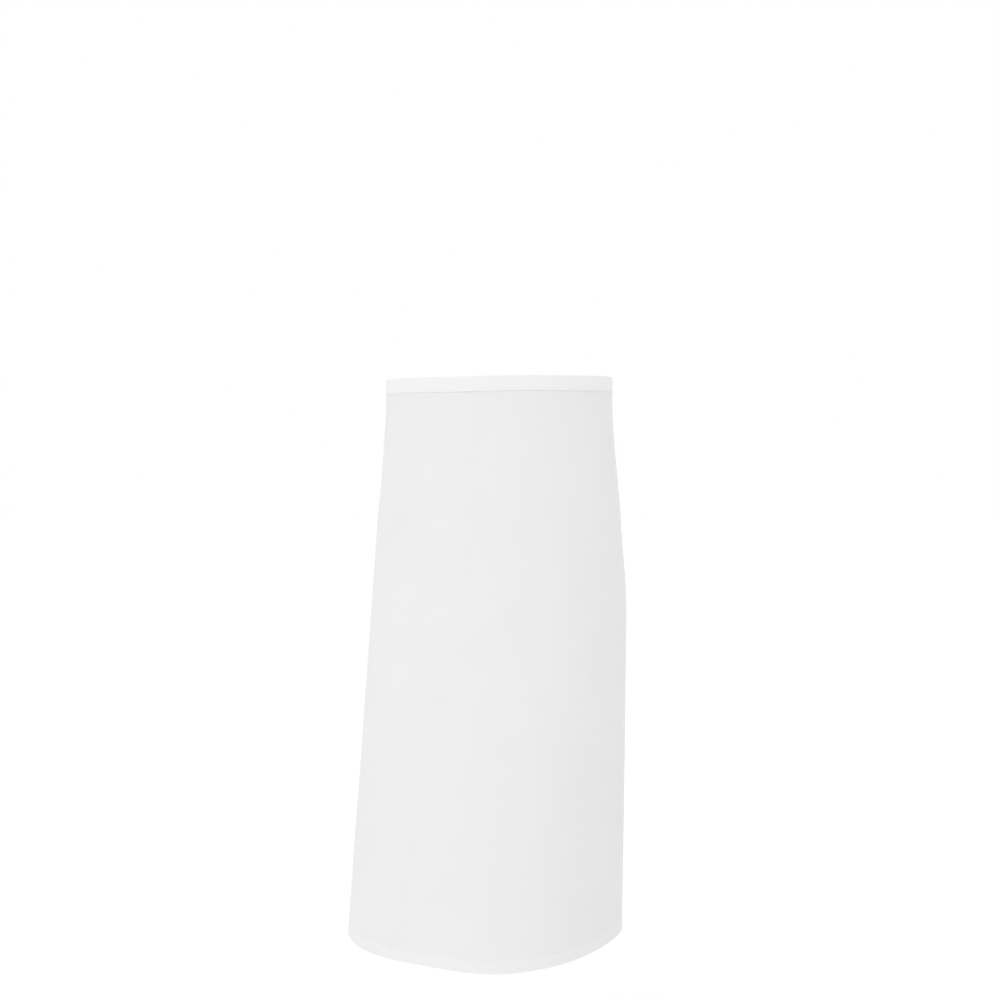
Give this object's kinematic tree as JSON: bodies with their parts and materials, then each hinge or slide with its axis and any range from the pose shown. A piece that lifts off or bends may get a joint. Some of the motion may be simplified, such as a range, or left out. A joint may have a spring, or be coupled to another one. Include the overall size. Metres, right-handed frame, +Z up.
{
  "type": "waist apron",
  "caption": "Full-length cloth waist apron with a narrow folded waistband and ties knotted in a bow at the back, in the shape it takes when worn.",
  "frame": {"origin": "middle of the wearer's waist, level with the waistband's top edge", "axes": "+Z up the wearer's body, -Y to the wearer's front, +X to the right of someone who faces the wearer"},
  "size_m": [0.3854, 0.2903, 0.765],
  "materials": {
    "cloth": "matte",
    "thread": "matte",
    "label_tape": "satin"
  },
  "bodies": {
    "apron": {"skirt_panel": "cloth", "waistband": "cloth", "bottom_hem": "cloth", "left_side_hem": "cloth", "right_side_hem": "cloth", "left_tie": "cloth", "right_tie": "cloth", "bow_knot": "cloth", "waistband_stitching": "thread", "bottom_hem_stitching": "thread", "left_side_stitching": "thread", "right_side_stitching": "thread", "left_bar_tack": "thread", "right_bar_tack": "thread", "care_label": "label_tape"},
    "left_loop": {"left_bow_loop": "cloth"},
    "right_loop": {"right_bow_loop": "cloth"},
    "left_tail": {"left_tie_tail": "cloth", "left_tie_end_hem": "cloth", "left_tie_end_stitching": "thread", "left_tie_edge_stitching": "thread"},
    "right_tail": {"right_tie_tail": "cloth", "right_tie_end_hem": "cloth", "right_tie_end_stitching": "thread", "right_tie_edge_stitching": "thread"}
  },
  "joints": [
    {"name": "left_loop_lift", "type": "hinge", "parent": "apron", "child": "left_loop", "pos_m": [0, 0.116, -0.01], "axis": [0, 1, 0], "range_deg": [-20, 30]},
    {"name": "right_loop_lift", "type": "hinge", "parent": "apron", "child": "right_loop", "pos_m": [0, 0.116, -0.01], "axis": [0, -1, 0], "range_deg": [-20, 30]},
    {"name": "left_tail_swing", "type": "hinge", "parent": "apron", "child": "left_tail", "pos_m": [-0.005, 0.116, -0.02], "axis": [0, 1, 0], "range_deg": [-20, 60]},
    {"name": "right_tail_swing", "type": "hinge", "parent": "apron", "child": "right_tail", "pos_m": [0.005, 0.116, -0.02], "axis": [0, -1, 0], "range_deg": [-20, 60]}
  ]
}
